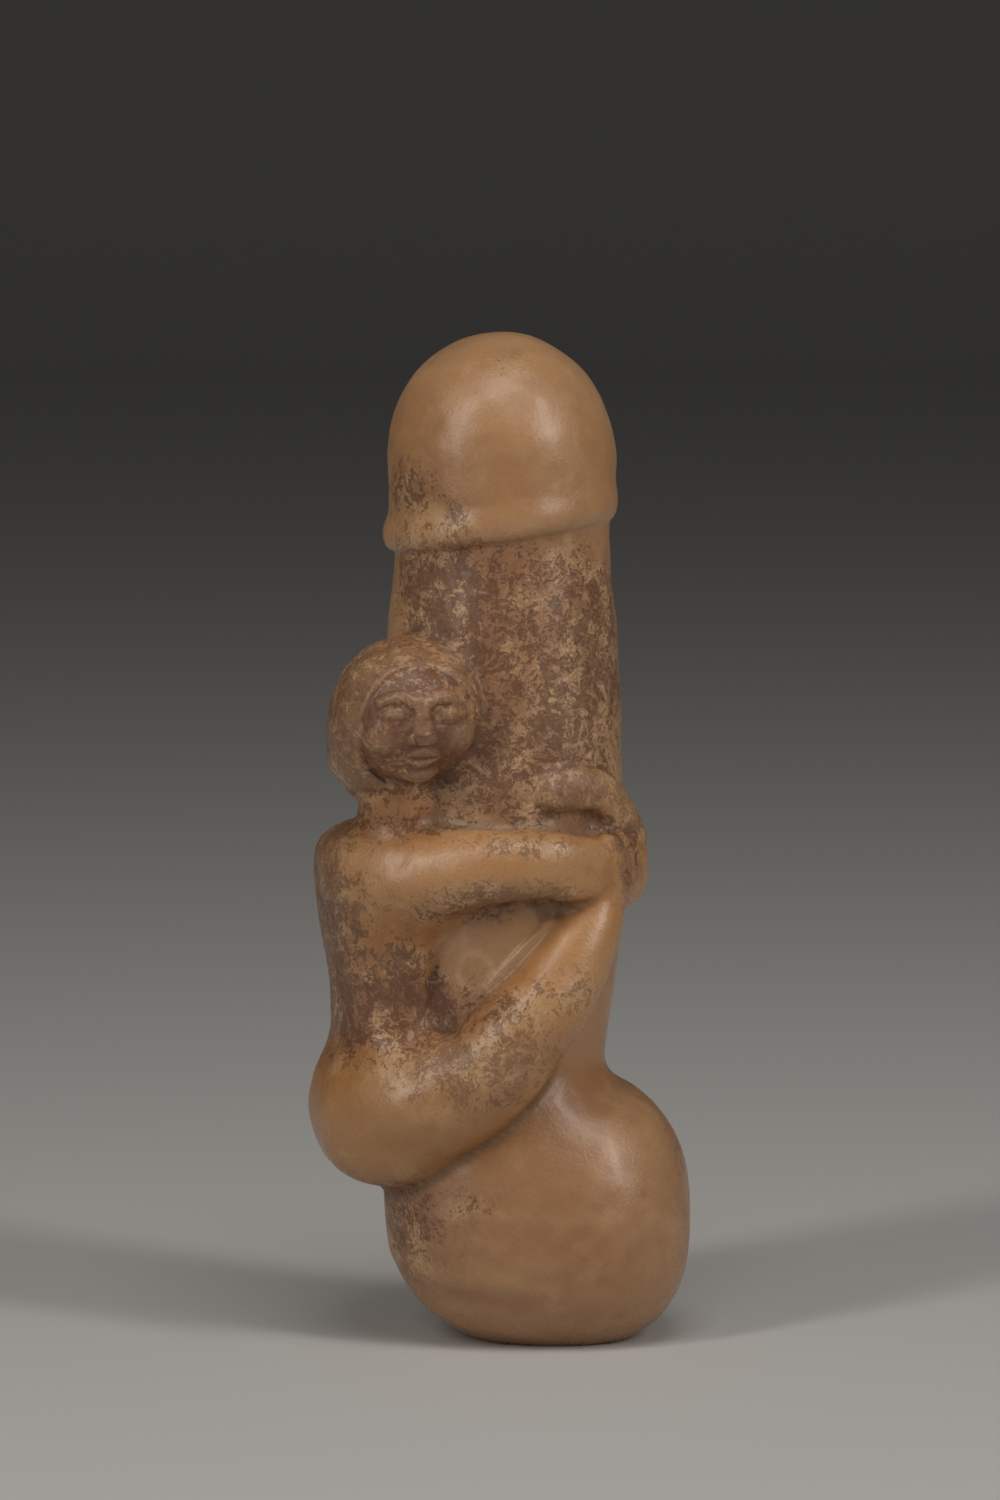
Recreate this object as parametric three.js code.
// A votive carved from one block of stone: a phallic column with a rounded cap, a rim and a
// bulbous foot, and a small adult dwarf figure who clings to its side with both arms and legs.
// Millimetres, +Z up. The origin is the middle of the flat underside. The figure's back points
// to -X, and its face looks towards -Y. Angles round the column are in degrees, 0 at the front
// (-Y) and growing towards +X.

import * as THREE from 'three';

// Driving dimensions
const height = 219;
const columnX = -10.9;
const stone = { color: 0xa67f55, roughness: 0.42 };

// The mesh: points in each ring, and the rings in each band of height
const pointsRound = 60;
const footRings = 10;
const figureRings = 43;
const neckRings = 4;
const rimRings = 9;
const domeRings = 8;

// The column is round, and its radius changes gently with height
const column = {
  heights: [50, 62, 92, 126, 150, 176],
  radii: [22.6, 22.5, 25.9, 25.9, 25.2, 23.1],
  top: 195,
  bottom: 20,
};

// The cap is a dome that ends in a rolled rim. The rim rises towards +X.
const cap = {
  x: 0.1,
  radius: 24.6,
  domeHeight: 27.2,
  domeOverRim: 3,
  domeBlend: 5,
  leanFrom: 180,
  lean: 0.018,
  power: 2.04,
  rimHeight: 175.4,
  rimSlope: 0.137,
  rimRadius: 23.4,
  rimInset: 1.6,
  rimRise: 3.4,
  rimStretch: 1.25,
  rimThickness: 3.0,
  rimDepth: 8,
  rimFlare: 0.55,
  rimBlend: 2,
};

// The foot is a rounded bulb, cut flat below. It grows shallower towards its top.
const foot = {
  x: 7.5,
  z: 30.2,
  halfWidth: 33.4,
  halfDepth: 29.0,
  halfAbove: 29.6,
  halfBelow: 32.6,
  skew: 0.046,
  narrowing: 0.15,
  power: 2.6,
  roundPower: 2.35,
};

// The figure's back points away from the column at this angle
const backAngle = -75;

// Torso sections by height: distance from the column's axis, half thickness, half breadth
const torso = {
  heights: [44, 60, 77, 96, 110],
  reach: [24.0, 24.4, 24.8, 26.4, 26.6],
  halfThick: [15.0, 13.4, 13.0, 14.0, 14.4],
  halfBroad: [20.0, 18.5, 17.0, 20.0, 18.0],
  shoulderTop: 112,
  shoulderBlend: 8,
  seat: 37,
  seatBlend: 9,
  power: 2.3,
};

// Each limb is a row of stations: angle, distance from the axis, height, radius
const nearArm = [
  [-58, 28.5, 102.5, 11.6],
  [-32, 25.8, 103.6, 10.9],
  [-9, 26.6, 105.6, 8.5],
  [14, 27.0, 106.0, 7.2],
  [24, 26.4, 105.8, 6.2],
];
const nearLeg = [
  [-64, 26.2, 51.2, 16.4],
  [-34, 24.0, 55.4, 14.2],
  [-9, 23.6, 61.6, 11.8],
  [12, 25.0, 71.4, 10.3],
  [29, 26.0, 81.7, 8.9],
  [42, 26.2, 91.0, 7.8],
  [49, 25.6, 98.0, 7.0],
];
const farArm = otherSide([
  [-58, 27.5, 102.0, 11.4],
  [-32, 25.6, 103.2, 10.6],
  [-9, 26.2, 104.8, 8.6],
  [14, 27.0, 105.5, 7.6],
  [36, 27.0, 105.6, 7.0],
  [64, 26.2, 105.4, 6.4],
  [100, 25.4, 107.0, 6.2],
]);
const farLeg = otherSide([
  [-64, 26.0, 52.0, 16.0],
  [-34, 24.0, 55.5, 14.0],
  [-9, 23.8, 62.0, 11.8],
  [12, 24.8, 71.5, 10.2],
  [29, 25.6, 81.5, 8.8],
  [42, 26.0, 90.0, 7.8],
  [54, 25.2, 97.0, 7.0],
]);

// Forearm and far hand are flat-fronted bands that follow the column round: angle, distance
// from the axis, height, half depth, half height, squareness
const forearm = [
  [-12, 26.6, 105.6, 6.6, 7.6, 2.2],
  [4, 27.2, 106.2, 7.0, 7.8, 2.5],
  [20, 27.2, 106.2, 6.6, 7.5, 2.9],
  [34, 26.9, 105.4, 6.4, 7.0, 3.4],
  [44, 26.6, 104.7, 6.0, 6.9, 3.6],
  [54, 26.0, 104.2, 5.6, 7.0, 3.6],
];
const farHand = [
  [25, 24.6, 122.6, 3.6, 4.7, 3.4],
  [33, 24.6, 122.8, 4.0, 5.0, 3.4],
  [42, 24.8, 122.4, 4.4, 5.0, 3.4],
  [52, 25.0, 120.9, 4.9, 5.0, 3.0],
  [64, 25.1, 116.8, 5.8, 5.5, 2.4],
  [82, 25.2, 109.8, 6.2, 6.2, 2.1],
  [104, 25.4, 106.5, 6.2, 6.2, 2.0],
];
const farHandTilt = 0.2;
const tiltReach = 6;
const bandRadius = 26;

// The near hand is a fist-like block with a crest where the forearm ends
const nearHand = {
  angle: 66,
  reach: 24.6,
  z: 103.8,
  halfDeep: 7.2,
  halfLong: 9.4,
  halfHigh: 10.2,
  cornerPower: 4.4,
  power: 2.4,
};

// Head, hair, neck and nape, placed from the column's axis
const head = { centre: [-19.9, -19.8, 139.3], radii: [16.6, 18.6, 15.9] };
const hair = { centre: [-26.4, -13.4, 132.6], radii: [11.4, 16.8, 13.6] };
const hairTip = [
  [-32.6, -14.0, 128.0, 4.2],
  [-30.6, -15.0, 122.6, 2.6],
];
const neck = [
  [-21.6, -17.2, 128.0, 9.0],
  [-21.8, -14.0, 110.0, 9.6],
];
const nape = [
  [-22.0, -14.5, 114.0, 6.5],
  [-30.0, -11.0, 103.5, 8.5],
];

// The hollow between arm, torso and thigh: x from the axis, height, half width. Its left wall
// slopes, so the floor is a little narrower.
const hollowPath = [
  [-13.2, 73.3, 4.8],
  [-11.5, 81.5, 7.3],
  [-4.9, 89.5, 7.4],
  [3.1, 94.5, 5.2],
  [9.1, 97.0, 3.0],
];
const hollow = {
  floor: 24.4,
  floorBlend: 1.5,
  wallFrom: -28,
  wallTo: -20,
  slide: 1.7,
  back: -2,
  backBlend: 1,
};

// How softly neighbouring forms run into each other
const blend = {
  body: 4.5,
  neck: 3.0,
  hair: 4.0,
  head: 1.4,
  hands: 1.2,
  onColumn: 1.2,
  rim: 0.8,
  footAtSide: 4.0,
  footInFront: 10.0,
  hollow: 1.2,
};

const samplesPerStation = 5;
const searchStart = 52;
const leastStep = 0.4;
const halvings = 14;

// The points between these heights are evened out along the surface, so that they also sit
// well on steep places, such as the sides of the head
const evening = { from: 34, to: 164, ramp: 8, rounds: 24, pull: 0.7 };

function smoothMin(a, b, softness) {
  const share = Math.min(Math.max(0.5 + (0.5 * (b - a)) / softness, 0), 1);
  return b + (a - b) * share - softness * share * (1 - share);
}

function smoothMax(a, b, softness) {
  return -smoothMin(-a, -b, softness);
}

// A smooth curve through values given at rising positions
function through(position, positions, values) {
  const last = positions.length - 1;
  const at = Math.min(Math.max(position, positions[0]), positions[last]);
  let i = 0;
  while (i < last - 1 && at >= positions[i + 1]) i += 1;
  const slope = (k) => {
    if (k === 0 || k === last) return 0;
    return (values[k + 1] - values[k - 1]) / (positions[k + 1] - positions[k - 1]);
  };
  const span = positions[i + 1] - positions[i];
  const t = (at - positions[i]) / span;
  const t2 = t * t;
  const t3 = t2 * t;
  return (2 * t3 - 3 * t2 + 1) * values[i]
    + (t3 - 2 * t2 + t) * span * slope(i)
    + (3 * t2 - 2 * t3) * values[i + 1]
    + (t3 - t2) * span * slope(i + 1);
}

// The same stations on the figure's other side
function otherSide(stations) {
  return stations.map(([angle, ...rest]) => [2 * backAngle - angle, ...rest]);
}

// Samples a row of stations finely, each column on its own smooth curve
function resample(stations) {
  const positions = stations.map((_, i) => i);
  const count = (stations.length - 1) * samplesPerStation;
  return Array.from({ length: count + 1 }, (_, i) => (
    stations[0].map((_, k) => (
      through(i / samplesPerStation, positions, stations.map((row) => row[k]))
    ))
  ));
}

// Turns limb stations into balls along its middle line
function limbBalls(stations) {
  return resample(stations).map(([angle, reach, z, radius]) => {
    const turn = THREE.MathUtils.degToRad(angle);
    return [reach * Math.sin(turn), -reach * Math.cos(turn), z, radius];
  });
}

// Distance to a chain of balls joined by cones
function chainDistance(balls, x, y, z) {
  let nearest = Infinity;
  for (let i = 0; i < balls.length - 1; i += 1) {
    const [ax, ay, az, ar] = balls[i];
    const [bx, by, bz, br] = balls[i + 1];
    const dx = bx - ax;
    const dy = by - ay;
    const dz = bz - az;
    const along = (x - ax) * dx + (y - ay) * dy + (z - az) * dz;
    const t = Math.min(Math.max(along / (dx * dx + dy * dy + dz * dz), 0), 1);
    const away = Math.hypot(x - ax - t * dx, y - ay - t * dy, z - az - t * dz);
    nearest = Math.min(nearest, away - (ar + (br - ar) * t));
  }
  return nearest;
}

// Distance to a band round the column whose section is a rounded oblong. With a tilt, its upper
// edge sinks into the column.
function bandDistance(band, tilt, x, y, z) {
  const out = Math.hypot(x, y);
  const s = Math.atan2(x, -y) * bandRadius;
  let nearest = Infinity;
  let at = 0;
  for (let i = 0; i < band.length - 1; i += 1) {
    const ds = band[i + 1][0] - band[i][0];
    const dz = band[i + 1][2] - band[i][2];
    const along = (s - band[i][0]) * ds + (z - band[i][2]) * dz;
    const t = Math.min(Math.max(along / (ds * ds + dz * dz), 0), 1);
    const away = Math.hypot(s - band[i][0] - t * ds, z - band[i][2] - t * dz);
    if (away < nearest) {
      nearest = away;
      at = i + t;
    }
  }
  const i = Math.min(Math.floor(at), band.length - 2);
  const share = at - i;
  const [, reach, middle, deep, high, power] = band[i].map((value, k) => (
    value + (band[i + 1][k] - value) * share
  ));
  const sunk = tilt * Math.min(Math.max(z - middle, 0), tiltReach);
  const sum = (Math.abs(out - reach + sunk) / deep) ** power + (nearest / high) ** power;
  return (sum ** (1 / power) - 1) * Math.min(deep, high);
}

function ellipsoidDistance({ centre, radii }, x, y, z) {
  const q = [x - centre[0], y - centre[1], z - centre[2]];
  const scaled = Math.hypot(...q.map((value, i) => value / radii[i]));
  const steep = Math.hypot(...q.map((value, i) => value / radii[i] ** 2));
  return (scaled * (scaled - 1)) / (steep + 1e-9);
}

function columnDistance(x, y, z) {
  const side = Math.hypot(x, y) - through(z, column.heights, column.radii);
  return smoothMax(smoothMax(side, z - column.top, 2), column.bottom - z, 2);
}

function capDistance(x, y, z) {
  const rimZ = cap.rimHeight + cap.rimSlope * x;
  const domeStart = height - cap.domeHeight;
  const middle = cap.x - cap.lean * Math.max(z - cap.leanFrom, 0);
  const out = Math.hypot(x - middle, y);
  const up = Math.max(z - domeStart, 0) / cap.domeHeight;
  const round = (out / cap.radius) ** cap.power + up ** cap.power;
  const dome = (round ** (1 / cap.power) - 1) * cap.radius;
  const domeAboveRim = smoothMax(dome, rimZ + cap.domeOverRim - z, cap.domeBlend);
  const flare = cap.rimFlare * (1 - (x - middle) / cap.radius);
  const past = Math.max(out - (cap.rimRadius + flare - cap.rimInset), -cap.rimDepth);
  const rim = Math.hypot(past, (z - rimZ - cap.rimRise) / cap.rimStretch) - cap.rimThickness;
  return smoothMin(domeAboveRim, rim, cap.rimBlend);
}

function footDistance(x, y, z) {
  const dx = x - foot.x;
  const dz = z - foot.z;
  const across = Math.abs((dx + foot.skew * dz) / foot.halfWidth);
  const up = dz + foot.skew * dx;
  const narrower = 1 + foot.narrowing * Math.min(Math.max(up / foot.halfAbove, 0), 1);
  const deep = Math.abs(y / foot.halfDepth) * narrower;
  const high = Math.abs(up / (up > 0 ? foot.halfAbove : foot.halfBelow));
  const flat = across ** foot.roundPower + deep ** foot.roundPower;
  const sum = flat ** (foot.power / foot.roundPower) + high ** foot.power;
  return (sum ** (1 / foot.power) - 1) * foot.halfDepth;
}

function torsoDistance(x, y, z) {
  const turn = THREE.MathUtils.degToRad(backAngle);
  const back = x * Math.sin(turn) - y * Math.cos(turn);
  const side = x * Math.cos(turn) + y * Math.sin(turn);
  const reach = through(z, torso.heights, torso.reach);
  const thick = through(z, torso.heights, torso.halfThick);
  const broad = through(z, torso.heights, torso.halfBroad);
  const sum = Math.abs((back - reach) / thick) ** torso.power + Math.abs(side / broad) ** torso.power;
  const sides = (sum ** (1 / torso.power) - 1) * thick;
  return smoothMax(
    smoothMax(sides, z - torso.shoulderTop, torso.shoulderBlend),
    torso.seat - z,
    torso.seatBlend,
  );
}

function nearHandDistance(x, y, z) {
  const turn = THREE.MathUtils.degToRad(nearHand.angle);
  const out = x * Math.sin(turn) - y * Math.cos(turn) - nearHand.reach;
  const along = x * Math.cos(turn) + y * Math.sin(turn);
  const corner = Math.abs(out / nearHand.halfDeep) ** nearHand.cornerPower
    + Math.abs(along / nearHand.halfLong) ** nearHand.cornerPower;
  const flat = corner ** (1 / nearHand.cornerPower);
  const high = Math.abs((z - nearHand.z) / nearHand.halfHigh);
  const sum = flat ** nearHand.power + high ** nearHand.power;
  return (sum ** (1 / nearHand.power) - 1) * nearHand.halfDeep;
}

// Turns band stations into rows whose first number is the length round the column
function bandRows(stations) {
  return resample(stations).map(([angle, ...rest]) => (
    [THREE.MathUtils.degToRad(angle) * bandRadius, ...rest]
  ));
}

const limbs = [nearArm, farArm, nearLeg, farLeg].map(limbBalls);
const forearmRows = bandRows(forearm);
const farHandRows = bandRows(farHand);
const hollowBalls = resample(hollowPath).map(([x, z, halfWidth]) => [x, 0, z, halfWidth]);

function headDistance(x, y, z) {
  const crown = ellipsoidDistance(head, x, y, z);
  const bob = smoothMin(crown, ellipsoidDistance(hair, x, y, z), blend.hair);
  return smoothMin(bob, chainDistance(hairTip, x, y, z), blend.neck);
}

function figureDistance(x, y, z) {
  let body = torsoDistance(x, y, z);
  for (const limb of limbs) body = smoothMin(body, chainDistance(limb, x, y, z), blend.body);
  body = smoothMin(body, chainDistance(neck, x, y, z), blend.neck);
  body = smoothMin(body, chainDistance(nape, x, y, z), blend.neck);
  body = smoothMin(body, headDistance(x, y, z), blend.head);
  const fist = nearHandDistance(x, y, z);
  const fistAndForearm = smoothMin(fist, bandDistance(forearmRows, 0, x, y, z), blend.hands);
  body = smoothMin(body, fistAndForearm, blend.hands);
  return smoothMin(body, bandDistance(farHandRows, farHandTilt, x, y, z), blend.hands);
}

function hollowDistance(x, y, z) {
  const share = (y - hollow.wallFrom) / (hollow.wallTo - hollow.wallFrom);
  const slide = hollow.slide * Math.min(Math.max(share, 0), 1);
  const outline = chainDistance(hollowBalls, x - slide, 0, z) + slide;
  const aboveFloor = smoothMax(outline, hollow.floor - Math.hypot(x, y), hollow.floorBlend);
  return smoothMax(aboveFloor, y - hollow.back, hollow.backBlend);
}

// Below zero inside the stone, above zero outside; x and y are from the column's axis
function stoneDistance(x, y, z) {
  const capped = smoothMin(columnDistance(x, y, z), capDistance(x, y, z), blend.rim);
  const frontal = (y * y) / (x * x + y * y + 1e-9);
  const footSoftness = blend.footAtSide + (blend.footInFront - blend.footAtSide) * frontal;
  const votive = smoothMin(capped, footDistance(x, y, z), footSoftness);
  const whole = smoothMin(votive, figureDistance(x, y, z), blend.onColumn);
  return smoothMax(whole, -hollowDistance(x, y, z), blend.hollow);
}

// A ring lies in a plane that tilts as the rim does, from the figure's head up to the dome
function ringTilt(z) {
  return through(z, [150, 168, 190, 216], [0, cap.rimSlope, cap.rimSlope, 0]);
}

// Heights of the rings on the column's axis, close together where the form turns quickly
function ringHeights() {
  const heights = [];
  const footTop = 34;
  const headTop = 152;
  const underRim = 168;
  const domeStart = 186;
  const evenly = (from, to, count) => {
    for (let i = 0; i < count; i += 1) heights.push(from + ((to - from) * i) / count);
  };
  for (let i = 0; i < footRings; i += 1) {
    heights.push(footTop * (1 - Math.cos((i / footRings) * (Math.PI / 2))));
  }
  evenly(footTop, headTop, figureRings);
  evenly(headTop, underRim, neckRings);
  evenly(underRim, domeStart, rimRings);
  for (let i = 0; i < domeRings; i += 1) {
    heights.push(domeStart + (height - domeStart) * Math.sin((i / domeRings) * (Math.PI / 2)));
  }
  return heights;
}

// Goes in from outside until it is in the stone, then halves the last step
function surfacePoint(z, tilt, angle) {
  const across = Math.sin(angle);
  const along = -Math.cos(angle);
  const distanceAt = (r) => stoneDistance(r * across, r * along, z + tilt * r * across);
  let outside = searchStart;
  let inside = searchStart;
  let distance = distanceAt(inside);
  while (inside > leastStep && distance > 0) {
    outside = inside;
    inside -= Math.max(0.5 * distance, leastStep);
    distance = distanceAt(inside);
  }
  for (let i = 0; i < halvings; i += 1) {
    const middle = (outside + inside) / 2;
    if (distanceAt(middle) > 0) outside = middle;
    else inside = middle;
  }
  return new THREE.Vector3(outside * across, outside * along, z + tilt * outside * across);
}

// Moves a point straight onto the stone's surface
function settle(point) {
  const reach = 0.05;
  for (let i = 0; i < 2; i += 1) {
    const here = stoneDistance(point.x, point.y, point.z);
    const slope = new THREE.Vector3(
      (stoneDistance(point.x + reach, point.y, point.z) - here) / reach,
      (stoneDistance(point.x, point.y + reach, point.z) - here) / reach,
      (stoneDistance(point.x, point.y, point.z + reach) - here) / reach,
    );
    point.addScaledVector(slope, -here / Math.max(slope.lengthSq(), 0.1));
  }
}

// Draws each point towards the middle of its four neighbours and back onto the surface
function evenOut(rings) {
  const { smoothstep } = THREE.MathUtils;
  for (let round = 0; round < evening.rounds; round += 1) {
    const before = rings.map((ring) => ring.map((point) => point.clone()));
    for (let k = 1; k < rings.length - 1; k += 1) {
      const z = before[k][0].z;
      const share = evening.pull
        * smoothstep(z, evening.from, evening.from + evening.ramp)
        * (1 - smoothstep(z, evening.to - evening.ramp, evening.to));
      if (share === 0) continue;
      for (let i = 0; i < pointsRound; i += 1) {
        const middle = before[k - 1][i].clone()
          .add(before[k + 1][i])
          .add(before[k][(i + 1) % pointsRound])
          .add(before[k][(i + pointsRound - 1) % pointsRound])
          .multiplyScalar(0.25);
        rings[k][i].lerp(middle, share);
        settle(rings[k][i]);
      }
    }
  }
}

// How far the middle of a straight line between two points is from the surface
function sagBetween(from, to) {
  const middle = from.clone().add(to).multiplyScalar(0.5);
  return Math.abs(stoneDistance(middle.x, middle.y, middle.z));
}

// Joins two rings with triangles, each square cut along the diagonal nearer the surface
function joinRings(points, index, lower, upper) {
  for (let i = 0; i < pointsRound; i += 1) {
    const next = (i + 1) % pointsRound;
    const a = lower + i;
    const b = lower + next;
    const c = upper + next;
    const d = upper + i;
    if (sagBetween(points[a], points[c]) < sagBetween(points[b], points[d])) {
      index.push(a, b, c, a, c, d);
    } else {
      index.push(a, b, d, b, c, d);
    }
  }
}

function stoneGeometry() {
  const rings = ringHeights().map((z) => (
    Array.from({ length: pointsRound }, (_, i) => (
      surfacePoint(z, ringTilt(z), (2 * Math.PI * i) / pointsRound)
    ))
  ));
  evenOut(rings);
  const points = rings.flat();
  const underside = points.length;
  points.push(new THREE.Vector3(-columnX, 0, 0));
  points.push(new THREE.Vector3(0, 0, height));
  const index = [];
  for (let i = 0; i < pointsRound; i += 1) {
    const next = (i + 1) % pointsRound;
    const top = (rings.length - 1) * pointsRound;
    index.push(underside, next, i);
    index.push(underside + 1, top + i, top + next);
  }
  for (let k = 0; k < rings.length - 1; k += 1) {
    joinRings(points, index, k * pointsRound, (k + 1) * pointsRound);
  }
  const geometry = new THREE.BufferGeometry().setFromPoints(points);
  geometry.setIndex(index);
  geometry.translate(columnX, 0, 0);
  geometry.computeVertexNormals();
  return geometry;
}

function stoneFigure() {
  const material = new THREE.MeshStandardMaterial({ ...stone, metalness: 0 });
  const mesh = new THREE.Mesh(stoneGeometry(), material);
  mesh.name = 'votive_figure';
  return mesh;
}

const votive = new THREE.Group();
votive.add(stoneFigure());

export default votive;
